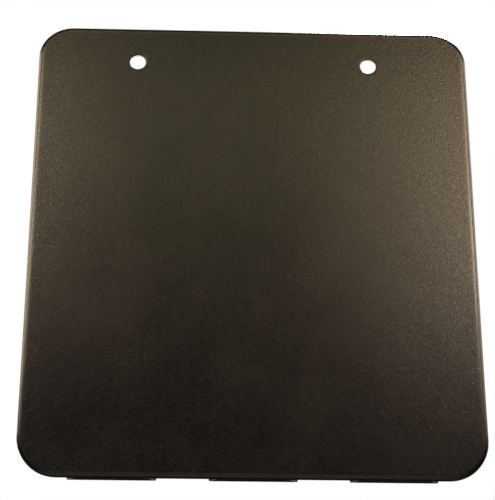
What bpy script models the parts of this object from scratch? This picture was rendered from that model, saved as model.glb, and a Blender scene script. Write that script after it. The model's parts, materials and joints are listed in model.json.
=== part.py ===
"""Moulded rubber mud flap, hanging as it does behind a wheel.

The origin is midway between the two bolt holes, on the flap's flat back face. +Z is up,
+X runs along the flap's width and the grained front face looks towards -Y. The flap is one
flexible sheet with three stiffening ribs on its back, so it is divided into a clamped
mounting band and four panels, hinged one below the other on the sheet's mid plane.
"""

import math

import bmesh
import bpy
from mathutils import Matrix, Vector

# Driving dimensions, in metres.
FLAP_WIDTH = 0.3048
FLAP_HEIGHT = 0.3302
SHEET_THICKNESS = 0.00635
TOP_CORNER_RADIUS = 0.0242
BOTTOM_CORNER_RADIUS = 0.0261
FRONT_EDGE_ROUNDING = 0.0028
BACK_EDGE_ROUNDING = 0.0008
BOLT_HOLE_DIAMETER = 0.0112
BOLT_HOLE_BACK_DIAMETER = 0.0160
BOLT_HOLE_SPACING = 0.164
BOLT_LINE_DROP = 0.028
RIB_WIDTH = 0.056
RIB_PITCH = 0.091
RIB_HEIGHT = 0.0045
RIB_CHAMFER = 0.0045
RIB_START_BELOW_BAND = 0.004
RIB_ARRIS_ROUNDING = 0.0006

# How the flap bends.
MOUNTING_BAND_HEIGHT = 0.068
PANEL_COUNT = 4
BEND_PER_JOINT_DEG = 20.0
BEND_CLEARANCE_DEG = 0.6

# How finely round shapes are drawn, and the gap that neighbouring pieces keep.
CORNER_STEPS = 12
FRONT_ROUNDING_STEPS = 4
BACK_ROUNDING_STEPS = 2
HOLE_SIDES = 48
GAP = 0.0003
CUTTER_MARGIN = 0.004
FLAT_ANGLE = math.radians(1.0)
SMOOTH_ANGLE = math.radians(35.0)

# Worked out from the values above.
TOP_EDGE_Z = BOLT_LINE_DROP
BOTTOM_EDGE_Z = TOP_EDGE_Z - FLAP_HEIGHT
MID_PLANE_Y = -SHEET_THICKNESS / 2
FIRST_BEND_Z = TOP_EDGE_Z - MOUNTING_BAND_HEIGHT
PANEL_HEIGHT = (FIRST_BEND_Z - BOTTOM_EDGE_Z) / PANEL_COUNT
RIB_BACK_Y = GAP + RIB_HEIGHT
CUTTER_REACH_Y = SHEET_THICKNESS / 2 + RIB_BACK_Y + CUTTER_MARGIN
RELIEF_SLOPE = math.tan(math.radians(BEND_PER_JOINT_DEG / 2 + BEND_CLEARANCE_DEG))
HOLE_WIDENING = (BOLT_HOLE_BACK_DIAMETER - BOLT_HOLE_DIAMETER) / 2 / SHEET_THICKNESS

RIB_SIDES = {"left": -1, "centre": 0, "right": 1}
FRONT_VIEW = Matrix.Rotation(math.pi / 2, 4, "X")
SIDE_VIEW = Matrix.Rotation(math.pi / 2, 4, "Z") @ FRONT_VIEW


def clear_scene():
    for item in list(bpy.data.objects):
        bpy.data.objects.remove(item, do_unlink=True)


def new_collection(name):
    collection = bpy.data.collections.new(name)
    bpy.context.scene.collection.children.link(collection)
    return collection


def rubber(name, colour, roughness):
    """A plain Principled material with one colour, for a non-metallic rubber."""
    material = bpy.data.materials.new(name)
    material.use_nodes = True
    shader = material.node_tree.nodes["Principled BSDF"]
    shader.inputs["Base Color"].default_value = (*colour, 1.0)
    shader.inputs["Roughness"].default_value = roughness
    shader.inputs["Metallic"].default_value = 0.0
    return material


def bend_height(number):
    """Height of bend line 1, 2, 3 ..., counted downwards from the mounting band."""
    return FIRST_BEND_Z - (number - 1) * PANEL_HEIGHT


def mesh_from_curve(curve_object, name):
    """The curve as one welded mesh in world space, with flat caps; the curve object is removed."""
    graph = bpy.context.evaluated_depsgraph_get()
    mesh = bpy.data.meshes.new_from_object(curve_object.evaluated_get(graph))
    mesh.name = name
    mesh.transform(curve_object.matrix_world)
    bpy.data.objects.remove(curve_object, do_unlink=True)
    bm = bmesh.new()
    bm.from_mesh(mesh)
    bmesh.ops.remove_doubles(bm, verts=bm.verts, dist=GAP / 10)
    bmesh.ops.dissolve_limit(bm, angle_limit=FLAT_ANGLE, verts=bm.verts, edges=bm.edges)
    bmesh.ops.recalc_face_normals(bm, faces=bm.faces)
    bm.to_mesh(mesh)
    bm.free()
    return mesh


def flat_solid(name, outline, thickness, view, centre):
    """A flat outline, drawn in the front or the side view, extruded about centre."""
    curve = bpy.data.curves.new(name, "CURVE")
    curve.dimensions = "2D"
    curve.fill_mode = "BOTH"
    curve.extrude = thickness / 2
    spline = curve.splines.new("POLY")
    spline.points.add(len(outline) - 1)
    for point, (across, up) in zip(spline.points, outline):
        point.co = (across, up, 0.0, 1.0)
    spline.use_cyclic_u = True
    drawn = bpy.data.objects.new(name, curve)
    bpy.context.scene.collection.objects.link(drawn)
    drawn.matrix_world = Matrix.Translation(centre) @ view
    bpy.context.view_layer.update()
    return mesh_from_curve(drawn, name)


def flap_outline():
    """The flap seen from the front: straight sides joined by four round corners."""
    corners = (
        (1, TOP_EDGE_Z - TOP_CORNER_RADIUS, TOP_CORNER_RADIUS),
        (-1, TOP_EDGE_Z - TOP_CORNER_RADIUS, TOP_CORNER_RADIUS),
        (-1, BOTTOM_EDGE_Z + BOTTOM_CORNER_RADIUS, BOTTOM_CORNER_RADIUS),
        (1, BOTTOM_EDGE_Z + BOTTOM_CORNER_RADIUS, BOTTOM_CORNER_RADIUS),
    )
    outline = []
    for quarter, (side, centre_z, radius) in enumerate(corners):
        centre_x = side * (FLAP_WIDTH / 2 - radius)
        for step in range(CORNER_STEPS + 1):
            angle = math.pi / 2 * (quarter + step / CORNER_STEPS)
            outline.append((centre_x + radius * math.cos(angle), centre_z + radius * math.sin(angle)))
    return outline


def round_edges_at(mesh, face_y, radius, steps):
    """Rounds every edge that lies in the plane of the front or the back face."""
    bm = bmesh.new()
    bm.from_mesh(mesh)
    edges = [e for e in bm.edges if all(abs(v.co.y - face_y) < GAP / 10 for v in e.verts)]
    bmesh.ops.bevel(bm, geom=edges, offset=radius, segments=steps, profile=0.5, affect="EDGES")
    bm.to_mesh(mesh)
    bm.free()


def flap_blank():
    """The whole undivided sheet, with a rounded front edge and a barely eased back edge."""
    centre = Vector((0.0, MID_PLANE_Y, 0.0))
    mesh = flat_solid("flap_blank", flap_outline(), SHEET_THICKNESS, FRONT_VIEW, centre)
    round_edges_at(mesh, -SHEET_THICKNESS, FRONT_EDGE_ROUNDING, FRONT_ROUNDING_STEPS)
    round_edges_at(mesh, 0.0, BACK_EDGE_ROUNDING, BACK_ROUNDING_STEPS)
    return mesh


def rib_blank(side):
    """One whole rib: a long bar whose sides and top end slope in towards its crest."""
    top_z = FIRST_BEND_Z - RIB_START_BELOW_BAND
    length = top_z - BOTTOM_EDGE_Z
    centre = Vector((RIB_SIDES[side] * RIB_PITCH, GAP + RIB_HEIGHT / 2, BOTTOM_EDGE_Z + length / 2))
    bm = bmesh.new()
    bmesh.ops.create_cube(bm, size=1.0)
    bmesh.ops.scale(bm, vec=(RIB_WIDTH, RIB_HEIGHT, length), verts=bm.verts)
    for vert in bm.verts:
        if vert.co.y > 0:
            vert.co.x -= math.copysign(RIB_CHAMFER, vert.co.x)
            vert.co.z -= RIB_CHAMFER if vert.co.z > 0 else 0.0
    crest = [e for e in bm.edges if all(v.co.y > 0 for v in e.verts)]
    bmesh.ops.bevel(
        bm, geom=crest, offset=RIB_ARRIS_ROUNDING, segments=BACK_ROUNDING_STEPS, profile=0.5, affect="EDGES"
    )
    bmesh.ops.translate(bm, vec=centre, verts=bm.verts)
    mesh = bpy.data.meshes.new(f"{side}_rib_blank")
    bm.to_mesh(mesh)
    bm.free()
    return mesh


def cutter_object(name, mesh, cutters):
    cutter = bpy.data.objects.new(name, mesh)
    cutter.hide_render = True
    cutter.display_type = "WIRE"
    cutters.objects.link(cutter)
    return cutter


def band_outline(top_bend, bottom_bend):
    """One band of the flap in the side view. An end at a bend line is a ridge on the sheet's mid
    plane, so that neighbours can turn either way without meeting; the flap's own ends are flat."""
    near_y = MID_PLANE_Y - CUTTER_REACH_Y
    far_y = MID_PLANE_Y + CUTTER_REACH_Y
    half_gap = GAP / 2
    fall = half_gap + CUTTER_REACH_Y * RELIEF_SLOPE
    if top_bend is None:
        flat_top = TOP_EDGE_Z + CUTTER_MARGIN
        top = [(far_y, flat_top), (near_y, flat_top)]
    else:
        top = [(far_y, top_bend - fall), (MID_PLANE_Y, top_bend - half_gap), (near_y, top_bend - fall)]
    if bottom_bend is None:
        flat_bottom = BOTTOM_EDGE_Z - CUTTER_MARGIN
        bottom = [(near_y, flat_bottom), (far_y, flat_bottom)]
    else:
        bottom = [
            (near_y, bottom_bend + fall),
            (MID_PLANE_Y, bottom_bend + half_gap),
            (far_y, bottom_bend + fall),
        ]
    return top + bottom


def band_cutters(cutters):
    """One long prism for each band, from the mounting band down to the last panel."""
    heights = [None] + [bend_height(number) for number in range(1, PANEL_COUNT + 1)] + [None]
    length = FLAP_WIDTH + 2 * CUTTER_MARGIN
    made = []
    for number, (top_bend, bottom_bend) in enumerate(zip(heights, heights[1:])):
        name = f"cut_band_{number}"
        mesh = flat_solid(name, band_outline(top_bend, bottom_bend), length, SIDE_VIEW, Vector())
        made.append(cutter_object(name, mesh, cutters))
    return made


def bolt_hole_cutters(cutters):
    """Cones, because the holes are moulded on tapered pins and widen towards the back."""
    past_face = HOLE_WIDENING * CUTTER_MARGIN
    made = []
    for side in (-1, 1):
        bm = bmesh.new()
        bmesh.ops.create_cone(
            bm,
            cap_ends=True,
            segments=HOLE_SIDES,
            radius1=BOLT_HOLE_BACK_DIAMETER / 2 + past_face,
            radius2=BOLT_HOLE_DIAMETER / 2 - past_face,
            depth=SHEET_THICKNESS + 2 * CUTTER_MARGIN,
            matrix=Matrix.Translation((side * BOLT_HOLE_SPACING / 2, MID_PLANE_Y, 0.0)) @ FRONT_VIEW,
        )
        name = "cut_left_bolt_hole" if side < 0 else "cut_right_bolt_hole"
        mesh = bpy.data.meshes.new(name)
        bm.to_mesh(mesh)
        bm.free()
        made.append(cutter_object(name, mesh, cutters))
    return made


def boolean(piece, operation, cutter):
    modifier = piece.modifiers.new(f"{operation.lower()}_{cutter.name}", "BOOLEAN")
    modifier.operation = operation
    modifier.solver = "EXACT"
    modifier.object = cutter


def bend_axes(collection):
    """An empty on each bend line, each one hanging from the one above it."""
    axes = []
    parent = None
    for number in range(1, PANEL_COUNT + 1):
        axis = bpy.data.objects.new(f"bend_axis_{number}", None)
        axis.parent = parent
        if parent is None:
            axis.location = (0.0, MID_PLANE_Y, bend_height(number))
        else:
            axis.location = (0.0, 0.0, -PANEL_HEIGHT)
        collection.objects.link(axis)
        axes.append(axis)
        parent = axis
    return axes


def piece_of(name, blank, band, axis, number, material, collection):
    """The part of a blank that lies in one band, with its origin on that band's bend axis."""
    mesh = blank.copy()
    mesh.name = name
    if axis is not None:
        mesh.transform(Matrix.Translation((0.0, -MID_PLANE_Y, -bend_height(number))))
    mesh.shade_smooth()
    mesh.set_sharp_from_angle(angle=SMOOTH_ANGLE)
    mesh.materials.append(material)
    piece = bpy.data.objects.new(name, mesh)
    piece.parent = axis
    collection.objects.link(piece)
    boolean(piece, "INTERSECT", band)
    return piece


def build():
    clear_scene()
    flap = new_collection("mud_flap")
    cutters = new_collection("cutters")
    sheet_rubber = rubber("grained_sheet_rubber", (0.020, 0.017, 0.013), 0.5)
    rib_rubber = rubber("plain_rib_rubber", (0.015, 0.013, 0.011), 0.6)
    sheet = flap_blank()
    ribs = {side: rib_blank(side) for side in RIB_SIDES}
    bands = band_cutters(cutters)
    axes = bend_axes(flap)
    mounting_band = piece_of("mounting_band", sheet, bands[0], None, 0, sheet_rubber, flap)
    for cutter in bolt_hole_cutters(cutters):
        boolean(mounting_band, "DIFFERENCE", cutter)
    for number, (axis, band) in enumerate(zip(axes, bands[1:]), start=1):
        piece_of(f"flap_panel_{number}", sheet, band, axis, number, sheet_rubber, flap)
        for side, blank in ribs.items():
            piece_of(f"{side}_rib_{number}", blank, band, axis, number, rib_rubber, flap)


build()
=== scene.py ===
# %% [markdown]
# # A moulded rubber mud flap
#
# A mud flap is one flexible sheet of black rubber that hangs behind a wheel from two bolts. Its
# front has a fine leather grain, its front edge is rounded over, and three flat ribs on its back
# keep it from folding in the wind. Nothing on it is bright or busy, so all of its looks come
# from the shape of its edges, from the grain, and from how satin rubber catches soft light.
#
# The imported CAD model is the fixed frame. It holds the flap as rigid bands joined by bend lines.
# This script builds the unbroken rubber around it, and takes the flap's size and every piece's
# place from it. All lengths are in metres.

import json
import math

import bmesh
import bpy
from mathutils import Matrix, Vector, noise

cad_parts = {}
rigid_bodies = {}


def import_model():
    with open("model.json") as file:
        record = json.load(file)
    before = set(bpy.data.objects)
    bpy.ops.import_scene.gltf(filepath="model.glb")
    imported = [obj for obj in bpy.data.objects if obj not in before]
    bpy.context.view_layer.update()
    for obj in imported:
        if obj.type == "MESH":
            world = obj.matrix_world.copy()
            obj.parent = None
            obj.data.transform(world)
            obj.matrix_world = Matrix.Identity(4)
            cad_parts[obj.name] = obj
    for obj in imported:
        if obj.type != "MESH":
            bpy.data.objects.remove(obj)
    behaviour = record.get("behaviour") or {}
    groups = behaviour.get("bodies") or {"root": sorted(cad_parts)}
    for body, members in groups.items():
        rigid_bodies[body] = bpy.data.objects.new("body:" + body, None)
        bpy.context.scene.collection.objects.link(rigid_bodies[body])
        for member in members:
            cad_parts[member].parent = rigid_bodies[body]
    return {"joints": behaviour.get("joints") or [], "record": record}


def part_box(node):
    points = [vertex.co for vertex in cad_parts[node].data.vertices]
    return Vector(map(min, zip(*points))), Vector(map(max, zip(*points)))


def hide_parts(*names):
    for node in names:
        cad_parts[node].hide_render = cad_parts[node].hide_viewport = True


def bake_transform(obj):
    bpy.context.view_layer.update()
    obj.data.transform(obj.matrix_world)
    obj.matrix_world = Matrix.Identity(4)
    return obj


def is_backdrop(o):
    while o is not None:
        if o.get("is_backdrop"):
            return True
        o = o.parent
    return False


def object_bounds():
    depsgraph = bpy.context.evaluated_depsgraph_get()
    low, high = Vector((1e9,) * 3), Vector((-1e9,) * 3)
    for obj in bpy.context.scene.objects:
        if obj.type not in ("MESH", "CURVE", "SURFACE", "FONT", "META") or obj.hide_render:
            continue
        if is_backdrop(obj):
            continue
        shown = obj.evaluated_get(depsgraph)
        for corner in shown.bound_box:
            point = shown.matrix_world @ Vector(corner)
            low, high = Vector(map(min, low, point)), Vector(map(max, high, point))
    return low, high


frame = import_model()
cad_low, cad_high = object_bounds()
print("CAD box, mm:", [round(side * 1000, 1) for side in cad_high - cad_low])

# %% [markdown]
# ## Sizes that the frame gives
#
# The bend lines are the joints' positions. Each bend is covered by one stretch of rubber.
# Neighbouring stretches meet half way between two bend lines, where the rubber stays flat, so a
# seam never has to bend.

# %% Sheet, bend lines and seams
band_low, band_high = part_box("mounting_band")
last_low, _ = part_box("flap_panel_4")
HALF_WIDTH = band_high.x
THICKNESS = band_high.y - band_low.y
TOP_Z = band_high.z
BOTTOM_Z = last_low.z

BENDS = [joint["pos_m"][2] for joint in frame["joints"]]
BEND_BODIES = [(joint["parent"], joint["child"]) for joint in frame["joints"]]
SEAMS = [(upper + lower) / 2 for upper, lower in zip(BENDS, BENDS[1:])]
print("bend lines, mm:", [round(z * 1000, 1) for z in BENDS])
print("seams, mm:", [round(z * 1000, 1) for z in SEAMS])

# %% [markdown]
# ## Sizes that a box can't give
#
# A box says nothing about roundings. The corners, the edges and the bolt holes have the same
# sizes here as in the frame. The front edge is rounded generously, where a wheel's spray and
# hands meet it, and the back edge is only eased. The holes' rims get a small rounding of their
# own, because no moulded rim is sharp.

# %% Corners, roundings and bolt holes
TOP_CORNER_RADIUS = 0.0242
BOTTOM_CORNER_RADIUS = 0.0261
FRONT_ROUNDING = 0.0028
BACK_ROUNDING = 0.0008
HOLE_RADIUS = 0.0056
HOLE_BACK_RADIUS = 0.0080
HOLE_RIM_ROUNDING = 0.0005

openings = frame["record"]["physics"]["openings"]
HOLES = [sum(corner[0] for corner in opening["box_m"]) / 2 for opening in openings]
print("bolt holes at x, mm:", [round(x * 1000, 1) for x in HOLES])

# %% [markdown]
# ## Rubber is never quite flat
#
# A moulded sheet relaxes as it cools, so it undulates by a tenth of a millimetre or two. That
# is far too little to see as a shape, but it bends reflections, and a perfectly flat face looks
# like glass. One function gives the shift, and the sheet and the ribs both use it, so they
# stay in contact everywhere.

# %% The sheet's gentle waves
LONG_WAVE = 0.085
LONG_WAVE_HEIGHT = 0.00016
SHORT_WAVE = 0.019
SHORT_WAVE_HEIGHT = 0.000025


def wave(x, z):
    """How far the rubber lies behind its nominal plane at a point of the sheet."""
    long_part = noise.noise(Vector((x, 0.0, z)) / LONG_WAVE)
    short_part = noise.noise(Vector((x, 1.0, z)) / SHORT_WAVE)
    return LONG_WAVE_HEIGHT * long_part + SHORT_WAVE_HEIGHT * short_part


down_the_middle = [wave(0.0, TOP_Z + (BOTTOM_Z - TOP_Z) * step / 50) for step in range(51)]
print("waves, mm:", round(min(down_the_middle) * 1000, 3), "to", round(max(down_the_middle) * 1000, 3))

# %% [markdown]
# ## The sheet as rows and rings
#
# The outline is a rectangle with round corners, and the front edge is rounded over. One way is
# to bevel a flat plate, but the plate's two big faces would stay single polygons, which can't
# bend. Instead the sheet is drawn as rows of points from top to bottom. Round the corners the
# rows follow the arc, one row for each step of angle. The same rows are drawn again at each
# inset of the edge's profile, and these rings join the front face to the back face.

# %% Rows of the outline
CORNER_STEPS = 14
ROW_SPACING = 0.0020
COLUMNS = 152


def nearest(values, target):
    """The index of the value that is nearest to a target."""
    return min(range(len(values)), key=lambda index: abs(values[index] - target))


def outline_rows(inset):
    """(height, half width) of each row of the flap's outline, inset from its edge."""
    rows = []
    for step in range(CORNER_STEPS + 1):
        lean = math.pi / 2 * (1 - step / CORNER_STEPS)
        radius = TOP_CORNER_RADIUS - inset
        height = TOP_Z - TOP_CORNER_RADIUS + radius * math.sin(lean)
        rows.append((height, HALF_WIDTH - TOP_CORNER_RADIUS + radius * math.cos(lean)))
    stops = [TOP_Z - TOP_CORNER_RADIUS, *SEAMS, BOTTOM_Z + BOTTOM_CORNER_RADIUS]
    for upper, lower in zip(stops, stops[1:]):
        count = round((upper - lower) / ROW_SPACING)
        for step in range(1, count + 1):
            rows.append((upper + (lower - upper) * step / count, HALF_WIDTH - inset))
    for step in range(1, CORNER_STEPS + 1):
        lean = math.pi / 2 * step / CORNER_STEPS
        radius = BOTTOM_CORNER_RADIUS - inset
        height = BOTTOM_Z + BOTTOM_CORNER_RADIUS - radius * math.sin(lean)
        rows.append((height, HALF_WIDTH - BOTTOM_CORNER_RADIUS + radius * math.cos(lean)))
    return rows


edge_rows = outline_rows(0.0)
SEAM_ROWS = [nearest([height for height, _ in edge_rows], seam) for seam in SEAMS]
print(len(edge_rows), "rows; seams at rows", SEAM_ROWS)

# %% The edge's profile, from the front face round to the back face
FRONT_STEPS = 8
BACK_STEPS = 3
WALL_STEPS = 2


def edge_profile():
    """(inset, y) of each ring: the round front edge, the wall and the eased back edge."""
    rings = []
    for step in range(FRONT_STEPS + 1):
        turn = math.pi / 2 * step / FRONT_STEPS
        y = -THICKNESS + FRONT_ROUNDING * (1 - math.cos(turn))
        rings.append((FRONT_ROUNDING * (1 - math.sin(turn)), y))
    wall_top = -THICKNESS + FRONT_ROUNDING
    wall_end = -BACK_ROUNDING
    for step in range(1, WALL_STEPS):
        rings.append((0.0, wall_top + (wall_end - wall_top) * step / WALL_STEPS))
    for step in range(BACK_STEPS + 1):
        turn = math.pi / 2 * step / BACK_STEPS
        rings.append((BACK_ROUNDING * (1 - math.cos(turn)), wall_end + BACK_ROUNDING * math.sin(turn)))
    return rings


PROFILE = edge_profile()
RING_ROWS = [outline_rows(inset) for inset, _ in PROFILE]
LAST_RING = len(PROFILE) - 1
LAST_ROW = len(edge_rows) - 1
print(len(PROFILE), "rings from the front face to the back face")

# %% [markdown]
# ## A collar of faces round each bolt hole
#
# Cutting a hole with a Boolean would leave long slivers on a face that has to shade evenly.
# Instead a square window of faces is left out, and rings of faces lead from the window's
# edge to a true circle, over a slightly rounded rim, down the wall and out at the back. The
# holes are moulded on tapered pins, so they widen towards the back.

# %% Windows and collars
WINDOW = 0.0250
COLLAR_RINGS = 5
RIM_STEPS = 3
HOLE_WALL_STEPS = 3


def hole_window(hole_x):
    """(first column, last column, first row, last row) of the square left out round a hole."""
    heights = [height for height, _ in RING_ROWS[0]]
    across = [-HALF_WIDTH + 2 * HALF_WIDTH * column / COLUMNS for column in range(COLUMNS + 1)]
    left = nearest(across, hole_x - WINDOW / 2)
    right = nearest(across, hole_x + WINDOW / 2)
    return left, right, nearest(heights, WINDOW / 2), nearest(heights, -WINDOW / 2)


def window_loop(window):
    """((column, row), angle) round a window, clockwise from its upper left corner."""
    left, right, top, bottom = window
    sides = (
        [(column, top) for column in range(left, right)],
        [(right, row) for row in range(top, bottom)],
        [(column, bottom) for column in range(right, left, -1)],
        [(left, row) for row in range(bottom, top, -1)],
    )
    upper_left = math.pi * 3 / 4
    loop = []
    for quarter, side in enumerate(sides):
        for step, place in enumerate(side):
            loop.append((place, upper_left - math.pi / 2 * (quarter + step / len(side))))
    return loop


def hole_rings():
    """(radius, y) of the rings down the hole, from the front rim to the back rim."""
    turns = [math.pi / 2 * step / RIM_STEPS for step in range(RIM_STEPS + 1)]
    lips = [(1 - math.sin(turn), 1 - math.cos(turn)) for turn in turns]
    lips = [(HOLE_RIM_ROUNDING * out, HOLE_RIM_ROUNDING * deep) for out, deep in lips]
    front = [(HOLE_RADIUS + out, -THICKNESS + deep) for out, deep in lips]
    back = [(HOLE_BACK_RADIUS + out, -deep) for out, deep in reversed(lips)]
    wall = []
    for step in range(1, HOLE_WALL_STEPS):
        share = step / HOLE_WALL_STEPS
        wall.append([a + (b - a) * share for a, b in zip(front[-1], back[0])])
    return front + wall + back


WINDOWS = {hole_x: hole_window(hole_x) for hole_x in HOLES}
for hole_x, window in WINDOWS.items():
    print("hole at", round(hole_x * 1000, 1), "mm: collar of", len(window_loop(window)), "faces round")

# %% [markdown]
# ## What the material needs to know
#
# The leather grain covers the front face and fades out over the rounded edge, because the mould
# is only engraved on its flat face. Rubbing shows first where the rubber turns a corner, and the
# back comes out of the mould matt. All of that is known while the mesh is made, so each point
# stores it as `grain`, `rub` and `matt`, from 0 to 1. It also stores `moulded_place`, where it
# lay in the mould. A pattern that reads `moulded_place` bends with the rubber, and doesn't
# slide over it.

# %% Store what each point is like
GRAIN_FADE = 0.0016
RUB_REACH = 0.0022


def sheet_values(place):
    """(grain, rub, matt) at a point of the sheet, from its depth and its distance from the edge."""
    depth = place.y + THICKNESS
    margin = FRONT_ROUNDING + RUB_REACH
    past_side = max(0.0, abs(place.x) - (HALF_WIDTH - margin))
    past_top = max(0.0, place.z - (TOP_Z - margin))
    past_bottom = max(0.0, (BOTTOM_Z + margin) - place.z)
    near_edge = min(1.0, math.hypot(past_side, max(past_top, past_bottom)) / margin)
    grain = max(0.0, 1.0 - depth / GRAIN_FADE) * (1.0 - near_edge)
    front_share = max(0.0, 1.0 - depth / THICKNESS)
    return grain, near_edge * front_share, 1.0 - front_share


def store_values(mesh, rule):
    """Writes moulded_place on every point of a mesh, and grain, rub and matt by a rule."""
    places = [vertex.co.copy() for vertex in mesh.vertices]
    values = [rule(place) for place in places]
    for name, numbers in zip(("grain", "rub", "matt"), zip(*values)):
        mesh.attributes.new(name, "FLOAT", "POINT").data.foreach_set("value", numbers)
    moulded = mesh.attributes.new("moulded_place", "FLOAT_VECTOR", "POINT")
    moulded.data.foreach_set("vector", [number for place in places for number in place])


print("grain fades out over", GRAIN_FADE * 1000, "mm of depth")

# %% [markdown]
# ## Build one stretch of the sheet
#
# A stretch runs from one row to another. Its points are kept in a dictionary by ring, row and
# column, so that faces which share a point find the same one, and the mesh comes out closed.
# Where a stretch meets its neighbour it gets a flat cap, so each stretch is a solid.

# %% The stretch builder
SMOOTH_ANGLE = math.radians(35)


def sheet_stretch(name, first_row, last_row):
    """A closed stretch of the sheet between two rows, as a new object."""
    bm = bmesh.new()
    points = {}
    has_top = first_row == 0
    has_bottom = last_row == LAST_ROW

    def at(ring, row, column):
        key = (ring, row, column)
        if key not in points:
            height, half_width = RING_ROWS[ring][row]
            x = half_width * (2 * column / COLUMNS - 1)
            points[key] = bm.verts.new((x, PROFILE[ring][1], height))
        return points[key]

    windows = [window for window in WINDOWS.values() if first_row <= window[2] < last_row]

    def in_window(row, column):
        return any(w[0] <= column < w[1] and w[2] <= row < w[3] for w in windows)

    for ring in (0, LAST_RING):
        for row in range(first_row, last_row):
            for column in range(COLUMNS):
                if not in_window(row, column):
                    here, beside = (row, column), (row, column + 1)
                    under, across = (row + 1, column), (row + 1, column + 1)
                    bm.faces.new([at(ring, *corner) for corner in (here, beside, across, under)])

    for ring in range(LAST_RING):
        for column in (0, COLUMNS):
            for row in range(first_row, last_row):
                near, far = [(ring, row), (ring, row + 1)], [(ring + 1, row + 1), (ring + 1, row)]
                bm.faces.new([at(*corner, column) for corner in near + far])
        for row in [0] * has_top + [LAST_ROW] * has_bottom:
            for column in range(COLUMNS):
                near = [at(ring, row, column), at(ring, row, column + 1)]
                far = [at(ring + 1, row, column + 1), at(ring + 1, row, column)]
                bm.faces.new(near + far)

    for row in [first_row] * (not has_top) + [last_row] * (not has_bottom):
        front = [at(0, row, column) for column in range(COLUMNS + 1)]
        right_wall = [at(ring, row, COLUMNS) for ring in range(1, LAST_RING)]
        back = [at(LAST_RING, row, column) for column in range(COLUMNS, -1, -1)]
        left_wall = [at(ring, row, 0) for ring in range(LAST_RING - 1, 0, -1)]
        bm.faces.new(front + right_wall + back + left_wall)

    for hole_x, window in WINDOWS.items():
        if window in windows:
            add_collar(bm, hole_x, window, at)

    bmesh.ops.recalc_face_normals(bm, faces=bm.faces)
    mesh = bpy.data.meshes.new(name)
    bm.to_mesh(mesh)
    bm.free()
    store_values(mesh, sheet_values)
    return finished_piece(name, mesh)


def add_collar(bm, hole_x, window, at):
    """Rings of faces from a window in the front face, down the hole and out at the back."""
    loop = window_loop(window)
    rings = hole_rings()

    def circle(radius, y):
        return [Vector((hole_x + radius * math.cos(a), y, radius * math.sin(a))) for _, a in loop]

    def between(face_ring, circle_points, share):
        made = []
        for ((column, row), _), target in zip(loop, circle_points):
            made.append(bm.verts.new(at(face_ring, row, column).co.lerp(target, share)))
        return made

    loops = [[at(0, row, column) for (column, row), _ in loop]]
    front_rim = circle(*rings[0])
    loops += [between(0, front_rim, step / COLLAR_RINGS) for step in range(1, COLLAR_RINGS)]
    loops += [[bm.verts.new(place) for place in circle(*ring)] for ring in rings]
    back_rim = circle(*rings[-1])
    for step in range(COLLAR_RINGS - 1, 0, -1):
        loops.append(between(LAST_RING, back_rim, step / COLLAR_RINGS))
    loops.append([at(LAST_RING, row, column) for (column, row), _ in loop])
    for outer, inner in zip(loops, loops[1:]):
        for here in range(len(loop)):
            after = (here + 1) % len(loop)
            bm.faces.new((outer[here], outer[after], inner[after], inner[here]))


def finished_piece(name, mesh):
    """Waves and smooth shading on a mesh that is in place, and an object at the origin for it."""
    for vertex in mesh.vertices:
        vertex.co.y += wave(vertex.co.x, vertex.co.z)
    mesh.shade_smooth()
    mesh.set_sharp_from_angle(angle=SMOOTH_ANGLE)
    piece = bpy.data.objects.new(name, mesh)
    bpy.context.scene.collection.objects.link(piece)
    return piece


# %% Make the four stretches of the sheet
stretch_ends = [0, *SEAM_ROWS, LAST_ROW]
sheet_pieces = []
for number, (first_row, last_row) in enumerate(zip(stretch_ends, stretch_ends[1:]), start=1):
    piece = sheet_stretch(f"grained_sheet_{number}", first_row, last_row)
    sheet_pieces.append(piece)
    print(piece.name, len(piece.data.polygons), "faces")

# %% [markdown]
# ## Ribs, with Geometry Nodes
#
# The three ribs are the same bar three times at one pitch, so a node tree makes them: a
# trapezoid profile is filleted, swept down a line, copied onto a row of points and realized.
# At its upper end a rib slopes down to the sheet. That is a rule too: no point may stand
# further out than the slope allows, so the tree takes the smaller of the two.

# %% Sizes of a rib
RIB_COUNT = 3
rib_low, rib_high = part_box("centre_rib_1")
right_low, right_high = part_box("right_rib_1")
RIB_WIDTH = rib_high.x - rib_low.x
RIB_PITCH = (right_low.x + right_high.x) / 2
RIB_TOP_Z = rib_high.z
RIB_CREST_Y = rib_high.y
RIB_SLOPE = 0.0045
RIB_FILLET = 0.0006
RIB_FILLET_STEPS = 3
RIB_SUNK = 0.0012
RIB_RISE = RIB_CREST_Y + RIB_SUNK
RIB_END_ROUNDING = 0.0005
RIB_ROW_SPACING = 0.0022
print("ribs, mm: width", round(RIB_WIDTH * 1000, 1), "pitch", round(RIB_PITCH * 1000, 1))

# %% [markdown]
# ### Helpers for node trees
#
# Every node tree here, for shapes or for materials, is built from the same moves: add a node,
# set its inputs by name, and link what comes out of another. Three small functions do that, so
# the trees below read like a recipe.

# %% Add, fill and link nodes


def link_into(tree, node, **inputs):
    """Sets a node's inputs by name: a socket is linked, and anything else is its value."""
    for name, value in inputs.items():
        socket = node.inputs[name.replace("_", " ")]
        if isinstance(value, bpy.types.NodeSocket):
            tree.links.new(value, socket)
        else:
            socket.default_value = value
    return node


def new_node(tree, kind, settings=None, **inputs):
    """A new node of a kind, with its own settings and its inputs filled."""
    node = tree.nodes.new(kind)
    for name, value in (settings or {}).items():
        setattr(node, name, value)
    return link_into(tree, node, **inputs)


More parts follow.
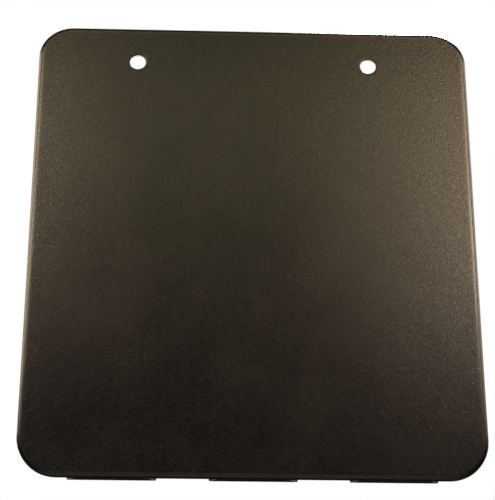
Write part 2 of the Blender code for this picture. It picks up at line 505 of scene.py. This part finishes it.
def math_node(tree, operation, first, second=0.0, third=0.0):
    """The output of one Math node."""
    node = tree.nodes.new("ShaderNodeMath")
    node.operation = operation
    for socket, value in zip(node.inputs, (first, second, third)):
        if isinstance(value, bpy.types.NodeSocket):
            tree.links.new(value, socket)
        else:
            socket.default_value = value
    return node.outputs[0]


print("node helpers ready")

# %% The rib tree


def rib_tree():
    """A node tree that makes a row of ribs between two heights."""
    tree = bpy.data.node_groups.new("rib_row", "GeometryNodeTree")
    tree.interface.new_socket("Geometry", in_out="OUTPUT", socket_type="NodeSocketGeometry")
    along = ("From height", "To height", "Row spacing", "Slope starts at")
    for name in (*along, "Base depth", "Rise", "Width", "Side slope", "Fillet", "Pitch"):
        tree.interface.new_socket(name, in_out="INPUT", socket_type="NodeSocketFloat")
    tree.interface.new_socket("Ribs", in_out="INPUT", socket_type="NodeSocketInt")
    tree.interface.new_socket("Rubber", in_out="INPUT", socket_type="NodeSocketMaterial")
    sizes = tree.nodes.new("NodeGroupInput").outputs

    start = new_node(tree, "ShaderNodeCombineXYZ", Z=sizes["From height"])
    end = new_node(tree, "ShaderNodeCombineXYZ", Z=sizes["To height"])
    line = new_node(tree, "GeometryNodeCurvePrimitiveLine", Start=start.outputs[0], End=end.outputs[0])
    rows = new_node(
        tree, "GeometryNodeResampleCurve", {"mode": "LENGTH"},
        Curve=line.outputs[0], Length=sizes["Row spacing"],
    )
    crest_width = math_node(tree, "MULTIPLY_ADD", sizes["Side slope"], -2.0, sizes["Width"])
    bar = new_node(
        tree, "GeometryNodeCurvePrimitiveQuadrilateral", {"mode": "TRAPEZOID"},
        Height=sizes["Rise"], Bottom_Width=sizes["Width"], Top_Width=crest_width, Offset=0.0,
    )
    rounded = new_node(
        tree, "GeometryNodeFilletCurve", {"mode": "POLY"},
        Curve=bar.outputs[0], Radius=sizes["Fillet"], Count=RIB_FILLET_STEPS,
    )
    half_rise = math_node(tree, "MULTIPLY_ADD", sizes["Rise"], 0.5, sizes["Base depth"])
    rib_centre = new_node(tree, "ShaderNodeCombineXYZ", Y=half_rise)
    swept = new_node(
        tree, "GeometryNodeCurveToMesh",
        Curve=rows.outputs[0], Profile_Curve=rounded.outputs[0], Fill_Caps=True,
    )
    placed = new_node(
        tree, "GeometryNodeTransform", Geometry=swept.outputs[0], Translation=rib_centre.outputs[0]
    )
    here = tree.nodes.new("GeometryNodeInputPosition")
    apart = new_node(tree, "ShaderNodeSeparateXYZ", Vector=here.outputs[0])
    below = math_node(tree, "SUBTRACT", sizes["Slope starts at"], apart.outputs["Z"])
    allowed = math_node(tree, "MAXIMUM", below, sizes["Base depth"])
    kept_y = math_node(tree, "MINIMUM", apart.outputs["Y"], allowed)
    sloped = new_node(
        tree, "ShaderNodeCombineXYZ", X=apart.outputs["X"], Y=kept_y, Z=apart.outputs["Z"]
    )
    ended = new_node(
        tree, "GeometryNodeSetPosition", Geometry=placed.outputs[0], Position=sloped.outputs[0]
    )
    step = new_node(tree, "ShaderNodeCombineXYZ", X=sizes["Pitch"])
    fewer = math_node(tree, "SUBTRACT", sizes["Ribs"], 1.0)
    back_by = math_node(tree, "MULTIPLY", fewer, -0.5)
    first_x = math_node(tree, "MULTIPLY", back_by, sizes["Pitch"])
    first = new_node(tree, "ShaderNodeCombineXYZ", X=first_x)
    row = new_node(
        tree, "GeometryNodeMeshLine", {"mode": "OFFSET"},
        Count=sizes["Ribs"], Start_Location=first.outputs[0], Offset=step.outputs[0],
    )
    copies = new_node(
        tree, "GeometryNodeInstanceOnPoints", Points=row.outputs[0], Instance=ended.outputs[0]
    )
    real = new_node(tree, "GeometryNodeRealizeInstances", Geometry=copies.outputs[0])
    dressed = new_node(
        tree, "GeometryNodeSetMaterial", Geometry=real.outputs[0], Material=sizes["Rubber"]
    )
    result = tree.nodes.new("NodeGroupOutput")
    tree.links.new(dressed.outputs[0], result.inputs[0])
    return tree


print("rib tree defined")

# %% [markdown]
# ## Grain, dust and rubbing as shader groups
#
# The grained face and the plain ribs are the same rubber out of two moulds, and they gather the
# same road dust. So the patterns are node groups, built once and placed in both materials with
# different values. A group only puts out numbers that change over the surface. The Principled
# shader stays in the material itself.

# %% A shader group with named sockets


def shader_group(name, inputs, outputs):
    """An empty shader node group, and its input sockets by name."""
    tree = bpy.data.node_groups.new(name, "ShaderNodeTree")
    for socket_name, kind, value in inputs:
        socket = tree.interface.new_socket(socket_name, in_out="INPUT", socket_type=kind)
        if value is not None:
            socket.default_value = value
    for socket_name in outputs:
        tree.interface.new_socket(socket_name, in_out="OUTPUT", socket_type="NodeSocketFloat")
    return tree, tree.nodes.new("NodeGroupInput").outputs


def put_out(tree, **values):
    """Links values to a group's outputs."""
    link_into(tree, tree.nodes.new("NodeGroupOutput"), **values)


def smooth_step(tree, value, low, high, to_low=0.0, to_high=1.0):
    """A value mapped smoothly from one range to another."""
    node = new_node(tree, "ShaderNodeMapRange", {"interpolation_type": "SMOOTHSTEP"}, Value=value)
    for socket, number in zip(node.inputs[1:5], (low, high, to_low, to_high)):
        socket.default_value = number
    return node.outputs[0]


def noise_node(tree, place, feature_size, detail=2.0, roughness=0.5):
    """Noise whose features are about feature_size metres across."""
    scale = 1 / feature_size
    return new_node(
        tree, "ShaderNodeTexNoise", Vector=place, Scale=scale, Detail=detail, Roughness=roughness
    )


print("group helpers ready")

# %% [markdown]
# ### Leather grain
#
# Leather grain is pebbles with fine creases between them. Voronoi cells give the pebbles: the
# distance to a cell's edge is small in the creases and large on the pebbles. Pulling the
# coordinates about with noise first keeps the cells from looking like a honeycomb. Some creases
# run together into longer wrinkles, which a second, larger set of cells gives.

# %% The leather grain group
PULL_SIZE = 0.9
PULL = 1.5
WRINKLE_CELLS = 0.31
WRINKLE_DEPTH = 0.8
SMALL_CREASE = 0.20
LONG_CREASE = 0.10
DOME_REACH = 0.55
DOME_SHARE = 0.65
FINE_CELLS = 5.0
FINE_SHARE = 0.16


def leather_grain_group():
    """Height of the pebbles, and where the creases lie. Pebble size is the width of one pebble."""
    tree, given = shader_group(
        "leather_grain",
        [("Place", "NodeSocketVector", None), ("Pebble size", "NodeSocketFloat", 0.0018)],
        ["Height", "Crease"],
    )
    per_metre = math_node(tree, "DIVIDE", 1.0, given["Pebble size"])
    cells = new_node(
        tree, "ShaderNodeVectorMath", {"operation": "SCALE"}, Vector=given["Place"], Scale=per_metre
    )
    push = new_node(tree, "ShaderNodeTexNoise", Vector=cells.outputs[0], Scale=PULL_SIZE, Detail=3.0)
    centred = new_node(
        tree, "ShaderNodeVectorMath", {"operation": "SUBTRACT"}, Vector=push.outputs["Color"]
    )
    centred.inputs[1].default_value = (0.5, 0.5, 0.5)
    pulled = new_node(
        tree, "ShaderNodeVectorMath", {"operation": "MULTIPLY_ADD"}, Vector=centred.outputs[0]
    )
    pulled.inputs[1].default_value = (PULL, PULL, PULL)
    tree.links.new(cells.outputs[0], pulled.inputs[2])
    place = pulled.outputs[0]
    to_edge = {"feature": "DISTANCE_TO_EDGE"}
    edge = new_node(tree, "ShaderNodeTexVoronoi", to_edge, Vector=place, Scale=1.0)
    wrinkle = new_node(tree, "ShaderNodeTexVoronoi", to_edge, Vector=place, Scale=WRINKLE_CELLS)
    each = new_node(tree, "ShaderNodeTexVoronoi", {"feature": "F1"}, Vector=place, Scale=1.0)
    own_height = new_node(tree, "ShaderNodeSeparateXYZ", Vector=each.outputs["Color"]).outputs[0]
    fine = new_node(tree, "ShaderNodeTexNoise", Vector=cells.outputs[0], Scale=FINE_CELLS, Detail=3.0)
    small_crease = smooth_step(tree, edge.outputs[0], 0.0, SMALL_CREASE, 1.0, 0.0)
    long_crease = smooth_step(tree, wrinkle.outputs[0], 0.0, LONG_CREASE, 1.0, 0.0)
    wrinkles = math_node(tree, "MULTIPLY", long_crease, WRINKLE_DEPTH)
    crease = math_node(tree, "MAXIMUM", small_crease, wrinkles)
    dome = smooth_step(tree, edge.outputs[0], 0.0, DOME_REACH)
    domed = math_node(tree, "MULTIPLY", dome, DOME_SHARE)
    lift = math_node(tree, "MULTIPLY_ADD", own_height, 1 - DOME_SHARE, domed)
    pebble = math_node(tree, "MULTIPLY", lift, math_node(tree, "SUBTRACT", 1.0, long_crease))
    height = math_node(tree, "MULTIPLY_ADD", fine.outputs[0], FINE_SHARE, pebble)
    put_out(tree, Height=height, Crease=crease)
    return tree


leather_grain = leather_grain_group()
print(leather_grain.name, "has", len(leather_grain.nodes), "nodes")

# %% [markdown]
# ### Dust and handling
#
# Dust lies in soft patches and settles in the creases first. Where the rubber is rubbed it is a
# little greyer and smoother. Both stay faint, because the flap is nearly new.

# %% The handling group
PATCH_SIZE = 0.055
SPECK_SIZE = 0.0011
SCRAPE_SIZE = 0.006
CLOUD_RANGE = (0.20, 0.80)
SPECK_RANGE = (0.30, 0.80)
SCRAPE_RANGE = (0.40, 0.68)
DUST_OFF_CREASES = 0.4


def handling_group():
    """Masks, from 0 to 1, of settled dust, of rubbed spots and of soft, cloudy patches."""
    tree, given = shader_group(
        "handling",
        [
            ("Place", "NodeSocketVector", None),
            ("Crease", "NodeSocketFloat", 0.0),
            ("Rub", "NodeSocketFloat", 0.0),
        ],
        ["Dust", "Scuff", "Cloud"],
    )
    patches = noise_node(tree, given["Place"], PATCH_SIZE, detail=5.0, roughness=0.6)
    cloud = smooth_step(tree, patches.outputs[0], *CLOUD_RANGE)
    specks = noise_node(tree, given["Place"], SPECK_SIZE, detail=2.0)
    speck = smooth_step(tree, specks.outputs[0], *SPECK_RANGE)
    settled = math_node(tree, "MULTIPLY_ADD", given["Crease"], 1 - DUST_OFF_CREASES, DUST_OFF_CREASES)
    dust = math_node(tree, "MULTIPLY", math_node(tree, "MULTIPLY", cloud, settled), speck)
    scrape = noise_node(tree, given["Place"], SCRAPE_SIZE, detail=6.0, roughness=0.7)
    torn = smooth_step(tree, scrape.outputs[0], *SCRAPE_RANGE)
    scuff = math_node(tree, "MULTIPLY", given["Rub"], torn)
    put_out(tree, Dust=dust, Scuff=scuff, Cloud=cloud)
    return tree


handling = handling_group()
print(handling.name, "has", len(handling.nodes), "nodes")

# %% [markdown]
# ## Two rubbers
#
# Black rubber isn't black paint. It is nearly black, with soft patches that are a little
# browner, it reflects about four hundredths of the light that meets it head on, and its satin
# finish spreads that reflection. Colour therefore hardly matters, and roughness and bump do
# nearly all the work. The creases are rougher than the pebbles, dust is rougher still, and a
# rubbed spot is smoother. The back is matt, because that half of the mould isn't polished.

# %% Mix two colours by a mask


def mixed(tree, share, first, second):
    """A colour part way between two, each a socket or a plain colour."""
    node = tree.nodes.new("ShaderNodeMix")
    node.data_type = "RGBA"
    tree.links.new(share, node.inputs["Factor"])
    for socket, value in zip((node.inputs[6], node.inputs[7]), (first, second)):
        if isinstance(value, bpy.types.NodeSocket):
            tree.links.new(value, socket)
        else:
            socket.default_value = (*value, 1.0)
    return node.outputs[2]


CLEAN_BLACK = (0.0022, 0.0024, 0.0026)
WORN_BROWN = (0.0058, 0.0050, 0.0044)
ROAD_DUST = (0.150, 0.125, 0.098)
SCUFFED_GREY = (0.060, 0.051, 0.042)
print("rubber colours:", CLEAN_BLACK, "to", WORN_BROWN)

# %% The rubber material
PEBBLE_SIZE = 0.0017
SPARK_SIZE = 0.0007
MATT_TEXTURE = 5
ROUGHER_IN_CREASES = 0.10
ROUGHER_WHERE_MATT = 0.20
ROUGHER_WITH_DUST = 0.30
ROUGHER_IN_CLOUDS = 0.03
SMOOTHER_WHERE_SCUFFED = -0.06
SCUFF_STRENGTH = 0.5
EDGE_GLOSS_ROUGHNESS = 0.25


def rubber(name, grain_height, spark_height, roughness, dustiness):
    """A moulded rubber: leather grain where the mesh says so, a plain mould finish elsewhere."""
    material = bpy.data.materials.new(name)
    material.use_nodes = True
    tree = material.node_tree
    shader = tree.nodes["Principled BSDF"]
    place = new_node(tree, "ShaderNodeAttribute", {"attribute_name": "moulded_place"}).outputs["Vector"]
    grained = new_node(tree, "ShaderNodeAttribute", {"attribute_name": "grain"}).outputs["Fac"]
    rubbed = new_node(tree, "ShaderNodeAttribute", {"attribute_name": "rub"}).outputs["Fac"]
    matt = new_node(tree, "ShaderNodeAttribute", {"attribute_name": "matt"}).outputs["Fac"]

    grain = new_node(
        tree, "ShaderNodeGroup", {"node_tree": leather_grain}, Place=place, Pebble_size=PEBBLE_SIZE
    )
    crease = math_node(tree, "MULTIPLY", grain.outputs["Crease"], grained)
    handled = new_node(
        tree, "ShaderNodeGroup", {"node_tree": handling}, Place=place, Crease=crease, Rub=rubbed
    )
    cloud, scuff = handled.outputs["Cloud"], handled.outputs["Scuff"]
    dust = math_node(tree, "MULTIPLY", handled.outputs["Dust"], dustiness)

    body = mixed(tree, cloud, CLEAN_BLACK, WORN_BROWN)
    scuffed = mixed(tree, math_node(tree, "MULTIPLY", scuff, SCUFF_STRENGTH), body, SCUFFED_GREY)
    tree.links.new(mixed(tree, dust, scuffed, ROAD_DUST), shader.inputs["Base Color"])

    rough = math_node(tree, "MULTIPLY_ADD", crease, ROUGHER_IN_CREASES, roughness)
    rough = math_node(tree, "MULTIPLY_ADD", matt, ROUGHER_WHERE_MATT, rough)
    rough = math_node(tree, "MULTIPLY_ADD", dust, ROUGHER_WITH_DUST, rough)
    rough = math_node(tree, "MULTIPLY_ADD", scuff, SMOOTHER_WHERE_SCUFFED, rough)
    rough = math_node(tree, "MULTIPLY_ADD", cloud, ROUGHER_IN_CLOUDS, rough)
    tree.links.new(rough, shader.inputs["Roughness"])

    # The rounded edge is moulded against polished steel, so it is glossier than the face.
    tree.links.new(rubbed, shader.inputs["Coat Weight"])
    shader.inputs["Coat Roughness"].default_value = EDGE_GLOSS_ROUGHNESS

    # A spark-eroded mould leaves a fine texture, and a coarser one on the matt back.
    spark = noise_node(tree, place, SPARK_SIZE, detail=3.0, roughness=0.6)
    coarser = spark_height * (MATT_TEXTURE - 1)
    depth = math_node(tree, "MULTIPLY_ADD", matt, coarser, spark_height)
    plain = math_node(tree, "MULTIPLY", spark.outputs[0], depth)
    pebbles = math_node(tree, "MULTIPLY", grain.outputs["Height"], grained)
    height = math_node(tree, "MULTIPLY_ADD", pebbles, grain_height, plain)
    bump = new_node(tree, "ShaderNodeBump", Height=height, Strength=1.0, Distance=1.0)
    tree.links.new(bump.outputs[0], shader.inputs["Normal"])
    return material


GRAIN_HEIGHT = 0.000068
SPARK_HEIGHT = 0.000003
grained_rubber = rubber("grained_rubber", GRAIN_HEIGHT, SPARK_HEIGHT, roughness=0.20, dustiness=0.06)
rib_rubber = rubber("plain_rib_rubber", 0.0, SPARK_HEIGHT, roughness=0.18, dustiness=0.12)
for piece in sheet_pieces:
    piece.data.materials.append(grained_rubber)
print("rubbers:", grained_rubber.name, rib_rubber.name)

# %% [markdown]
# ## Make the ribs
#
# The tree runs on an empty mesh, once for each bend, between the same seams as the sheet's. Its
# result becomes a plain mesh, because a mesh that bends has to be final. The sweep leaves two
# points in the same place where a cap meets the sides, so they are merged, and the rib's bottom
# end gets a small rounding, as the sheet's edge has.

# %% Run the tree once for each bend
CREST_RUB_REACH = 0.0012
END_STEPS = 2


def rib_values(place):
    """(grain, rub, matt) on a rib: no leather grain, and rubbing along the edges of its crest."""
    across = abs((place.x + RIB_PITCH / 2) % RIB_PITCH - RIB_PITCH / 2)
    from_edge = abs(RIB_WIDTH / 2 - RIB_SLOPE - across)
    out = max(0.0, place.y / RIB_CREST_Y)
    return 0.0, max(0.0, 1.0 - from_edge / CREST_RUB_REACH) * out**4, 1.0


def set_inputs(modifier, values):
    """Fills a Geometry Nodes modifier's inputs, found by their names."""
    for item in modifier.node_group.interface.items_tree:
        if item.in_out == "INPUT" and item.name in values:
            modifier[item.identifier] = values[item.name]


def rib_stretch(name, tree, from_height, to_height):
    """The three ribs between two heights, as one plain mesh."""
    maker = bpy.data.objects.new("rib_maker", bpy.data.meshes.new("rib_maker"))
    bpy.context.scene.collection.objects.link(maker)
    modifier = maker.modifiers.new("ribs", "NODES")
    modifier.node_group = tree
    set_inputs(modifier, {
        "From height": from_height,
        "To height": to_height,
        "Row spacing": RIB_ROW_SPACING,
        "Width": RIB_WIDTH - 2 * RIB_SLOPE + 2 * RIB_RISE,
        "Rise": RIB_RISE,
        "Side slope": RIB_RISE,
        "Fillet": RIB_FILLET,
        "Pitch": RIB_PITCH,
        "Base depth": -RIB_SUNK,
        "Slope starts at": RIB_TOP_Z,
        "Ribs": RIB_COUNT,
        "Rubber": rib_rubber,
    })
    graph = bpy.context.evaluated_depsgraph_get()
    mesh = bpy.data.meshes.new_from_object(maker.evaluated_get(graph))
    mesh.name = name
    bpy.data.objects.remove(maker, do_unlink=True)
    bm = bmesh.new()
    bm.from_mesh(mesh)
    bmesh.ops.remove_doubles(bm, verts=bm.verts, dist=RIB_FILLET / 100)
    if to_height == BOTTOM_Z:
        end_z = BOTTOM_Z + RIB_FILLET / 10
        low = [edge for edge in bm.edges if max(point.co.z for point in edge.verts) < end_z]
        bmesh.ops.bevel(
            bm, geom=low, offset=RIB_END_ROUNDING, segments=END_STEPS, affect="EDGES", profile=0.5
        )
    bmesh.ops.recalc_face_normals(bm, faces=bm.faces)
    bm.to_mesh(mesh)
    bm.free()
    store_values(mesh, rib_values)
    return finished_piece(name, mesh)


row_of_ribs = rib_tree()
rib_ends = [RIB_TOP_Z, *SEAMS, BOTTOM_Z]
rib_pieces = []
for number, (upper, lower) in enumerate(zip(rib_ends, rib_ends[1:]), start=1):
    piece = rib_stretch(f"ribs_{number}", row_of_ribs, upper, lower)
    rib_pieces.append(piece)
    print(piece.name, len(piece.data.polygons), "faces")

# %% [markdown]
# ## The rubber stands in for the rigid pieces
#
# Each stretch of sheet or ribs covers one bend line. The frame's rigid pieces are then hidden,
# because the rubber stands for them.

# %% Bake each stretch in place and hide the rigid pieces
rib_sides = ("left", "centre", "right")
for number, (bend_z, bodies) in enumerate(zip(BENDS, BEND_BODIES), start=1):
    sheet = sheet_pieces[number - 1]
    ribs = rib_pieces[number - 1]
    for piece in (sheet, ribs):
        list(bodies)
        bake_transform(piece)
    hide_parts(f"flap_panel_{number}")
    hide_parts(*[f"{side}_rib_{number}" for side in rib_sides])
    print(sheet.name, "and", ribs.name, "bend from", bodies[0], "to", bodies[1])
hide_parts("mounting_band")

# %% [markdown]
# ## A plain studio
#
# The flap hangs over a pale floor, in front of plain white. Satin black shows nothing but what it
# reflects. A few soft panels stand where the front mirrors them, fairly near, so that the
# reflection fades down the face. Others stand at the sides and behind, for the edges and the
# ribs. A panel's `spread` keeps its light on the flap and off the floor, because the lower edge
# mirrors the floor and has to stay dark.

# %% Floor
FLOOR_DROP = 1.0
FLOOR_SIZE = 60.0
FLOOR_FADE = (2.5, 12.0)
FLOOR_PALE = (0.72, 0.71, 0.69)
FLOOR_PALER = (0.80, 0.79, 0.77)
FLOOR_SPECKLE = 0.004
FLOOR_ROUGHNESS = 0.7
WHITE = (1.0, 1.0, 1.0)


def floor_material():
    """Pale matt paint. A camera ray finds it lit evenly, and white where it meets the background."""
    material = bpy.data.materials.new("pale_floor")
    material.use_nodes = True
    tree = material.node_tree
    shader = tree.nodes["Principled BSDF"]
    place = tree.nodes.new("ShaderNodeTexCoord").outputs["Object"]
    speckle = noise_node(tree, place, FLOOR_SPECKLE, detail=3.0)
    colour = mixed(tree, speckle.outputs[0], FLOOR_PALE, FLOOR_PALER)
    tree.links.new(colour, shader.inputs["Base Color"])
    shader.inputs["Roughness"].default_value = FLOOR_ROUGHNESS
    away = new_node(tree, "ShaderNodeVectorMath", {"operation": "LENGTH"}, Vector=place)
    far = smooth_step(tree, away.outputs["Value"], *FLOOR_FADE)
    tree.links.new(mixed(tree, far, colour, WHITE), shader.inputs["Emission Color"])
    to_camera = tree.nodes.new("ShaderNodeLightPath").outputs["Is Camera Ray"]
    tree.links.new(to_camera, shader.inputs["Emission Strength"])
    return material


bpy.ops.mesh.primitive_plane_add(size=FLOOR_SIZE, location=(0.0, 0.0, BOTTOM_Z - FLOOR_DROP))
floor = bpy.context.object
floor.name = "studio_floor"
floor.data.materials.append(floor_material())
floor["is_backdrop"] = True
print("floor at z", round(floor.location.z, 3))

# %% World: white behind the object, little light of its own
BACKDROP = 1.0
AMBIENT = (0.01, 0.01, 0.01)

world = bpy.data.worlds.new("studio")
bpy.context.scene.world = world
world.use_nodes = True
sky = world.node_tree
seen = sky.nodes["Background"]
seen.inputs["Color"].default_value = (*WHITE, 1.0)
seen.inputs["Strength"].default_value = BACKDROP
glow = new_node(sky, "ShaderNodeBackground", Color=(*AMBIENT, 1.0), Strength=1.0)
by_ray = sky.nodes.new("ShaderNodeMixShader")
sky.links.new(sky.nodes.new("ShaderNodeLightPath").outputs["Is Camera Ray"], by_ray.inputs[0])
sky.links.new(glow.outputs[0], by_ray.inputs[1])
sky.links.new(seen.outputs[0], by_ray.inputs[2])
sky.links.new(by_ray.outputs[0], sky.nodes["World Output"].inputs["Surface"])
bpy.context.scene.view_settings.view_transform = "Standard"
print("world ready")

# %% Soft panels


def soft_panel(name, azimuth, elevation, distance, width, height, power, colour, spread=70):
    """A soft rectangular light that faces the flap's middle. Azimuth 0 is straight in front."""
    light = bpy.data.lights.new(name, "AREA")
    light.shape = "RECTANGLE"
    light.size = width
    light.size_y = height
    light.energy = power
    light.color = colour
    light.spread = math.radians(spread)
    panel = bpy.data.objects.new(name, light)
    bpy.context.scene.collection.objects.link(panel)
    turn, lift = math.radians(azimuth), math.radians(elevation)
    away = Vector((math.sin(turn) * math.cos(lift), -math.cos(turn) * math.cos(lift), math.sin(lift)))
    panel.location = MIDDLE + away * distance
    panel.rotation_euler = away.to_track_quat("Z", "Y").to_euler()
    panel.visible_camera = False
    return panel


MIDDLE = Vector((0.0, 0.0, (TOP_Z + BOTTOM_Z) / 2))

# Name, azimuth and elevation in degrees, distance, width, height, power in watts, colour.
soft_panel("right_key", 22, 29, 0.75, 0.14, 0.26, 0.060, (1.0, 0.74, 0.46))
soft_panel("right_glow", 32, 29, 0.80, 0.16, 0.26, 0.180, (1.0, 0.73, 0.51))
soft_panel("right_low", 31, 19, 0.80, 0.14, 0.14, 0.140, (1.0, 0.81, 0.64))
soft_panel("left_key", -27, 29, 0.75, 0.12, 0.24, 0.140, (1.0, 0.77, 0.52))
soft_panel("left_low", -34, 19, 0.80, 0.14, 0.14, 0.135, (1.0, 0.82, 0.67))
soft_panel("front_fill", 0, 36, 0.80, 0.46, 0.24, 0.058, (1.0, 0.97, 0.52))
soft_panel("left_side", -70, 24, 0.95, 0.80, 0.50, 1.1, (1.0, 0.84, 0.66))
soft_panel("right_side", 72, 24, 0.95, 0.80, 0.50, 0.75, (1.0, 0.82, 0.64))
soft_panel("left_rim", -128, 24, 1.0, 0.80, 0.50, 0.55, (1.0, 0.84, 0.66))
soft_panel("right_rim", 128, 24, 1.0, 0.80, 0.50, 0.50, (1.0, 0.84, 0.66))
soft_panel("floor_bounce", 0, -17, 1.3, 2.6, 0.4, 1.0, (1.0, 0.98, 0.95), spread=180)
soft_panel("back_fill", 190, 20, 1.6, 1.6, 1.4, 4.0, (1.0, 0.92, 0.82))
soft_panel("back_rake", 150, 55, 1.0, 0.3, 0.3, 3.0, (1.0, 0.95, 0.88))

# %% [markdown]
# ## Camera
#
# The camera stands a metre off, a little left of the middle and below the flap's lower edge,
# and looks up at it, so it just catches the thickness of the lower edge and the ribs' ends.

# %% Camera
CAMERA_PLACE = Vector((-0.0428, -0.9975, -0.5767))
CAMERA_AIM = Vector((-0.0041, -0.0064, -0.1444))
LENS_MM = 115.2

lens = bpy.data.cameras.new("camera")
lens.lens = LENS_MM
camera = bpy.data.objects.new("camera", lens)
bpy.context.scene.collection.objects.link(camera)
camera.location = CAMERA_PLACE
camera.rotation_euler = (CAMERA_PLACE - CAMERA_AIM).to_track_quat("Z", "Y").to_euler()
bpy.context.scene.camera = camera
print("camera to flap:", round((CAMERA_PLACE - CAMERA_AIM).length, 3), "m")

# %% [markdown]
# ## Check the size
#
# The rubber has to fill the frame's box and stay inside it, within the waves' height. The
# printed numbers say how far the rubber's box reaches past the frame's box, in millimetres.

# %% Compare the two boxes
seen_low, seen_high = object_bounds()
past_box = [round((seen_side - cad_side) * 1000, 2) for seen_side, cad_side in zip(seen_high, cad_high)]
print("visual model past the CAD box, mm:", past_box)
